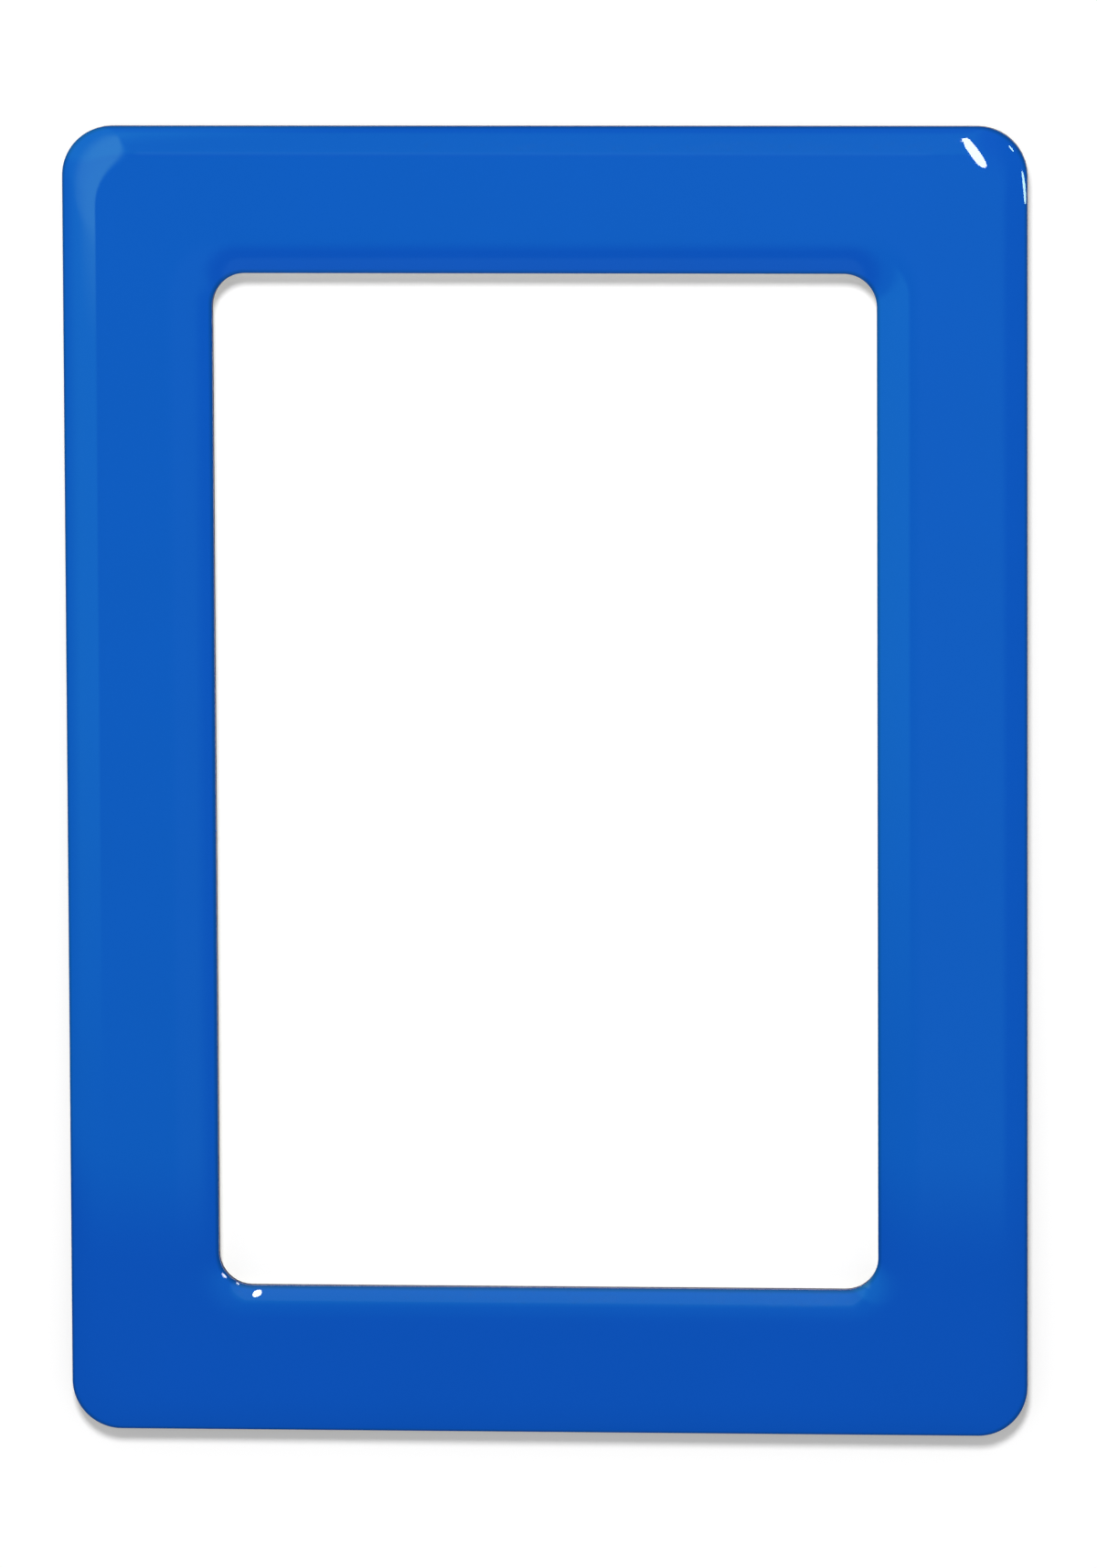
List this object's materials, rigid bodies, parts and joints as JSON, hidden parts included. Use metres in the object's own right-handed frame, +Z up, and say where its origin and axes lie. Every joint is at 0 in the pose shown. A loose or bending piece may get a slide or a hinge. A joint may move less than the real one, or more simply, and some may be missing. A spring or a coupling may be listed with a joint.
{
  "type": "magnetic document frame",
  "caption": "Glossy domed rectangular frame for a standard print, with a magnetic front half that lifts off and removable adhesive strips behind it for a wall.",
  "frame": {"origin": "centre of the frame on the wall plane, where the adhesive strips' back faces meet the wall", "axes": "+Z up along the frame's height, +X to the right seen from the front, +Y into the wall; the front faces -Y"},
  "size_m": [0.1378, 0.0052, 0.188],
  "materials": {
    "adhesive_foam": "white removable foam tape",
    "backing_film": "clear polyester film",
    "ferrite_rubber": "calendered ferrite rubber sheet",
    "window_film": "clear polyester film",
    "tape": "double-sided tissue tape",
    "blue_film": "calendered vinyl film",
    "blue_resin": "cast glossy doming resin over blue film"
  },
  "bodies": {
    "rear_half": {"adhesive_strip_top": "adhesive_foam", "adhesive_strip_bottom": "adhesive_foam", "adhesive_strip_left": "adhesive_foam", "adhesive_strip_right": "adhesive_foam", "backing_film": "backing_film", "rear_magnet_top": "ferrite_rubber", "rear_magnet_bottom": "ferrite_rubber", "rear_magnet_left": "ferrite_rubber", "rear_magnet_right": "ferrite_rubber"},
    "front_half": {"window_film": "window_film", "window_tape_top": "tape", "window_tape_bottom": "tape", "window_tape_left": "tape", "window_tape_right": "tape", "front_magnet_sheet": "ferrite_rubber", "colour_film": "blue_film", "resin_dome": "blue_resin"}
  },
  "joints": [
    {"name": "front_lift", "type": "slide", "parent": "rear_half", "child": "front_half", "axis": [0, -1, 0], "range_m": [0, 0.06]}
  ]
}
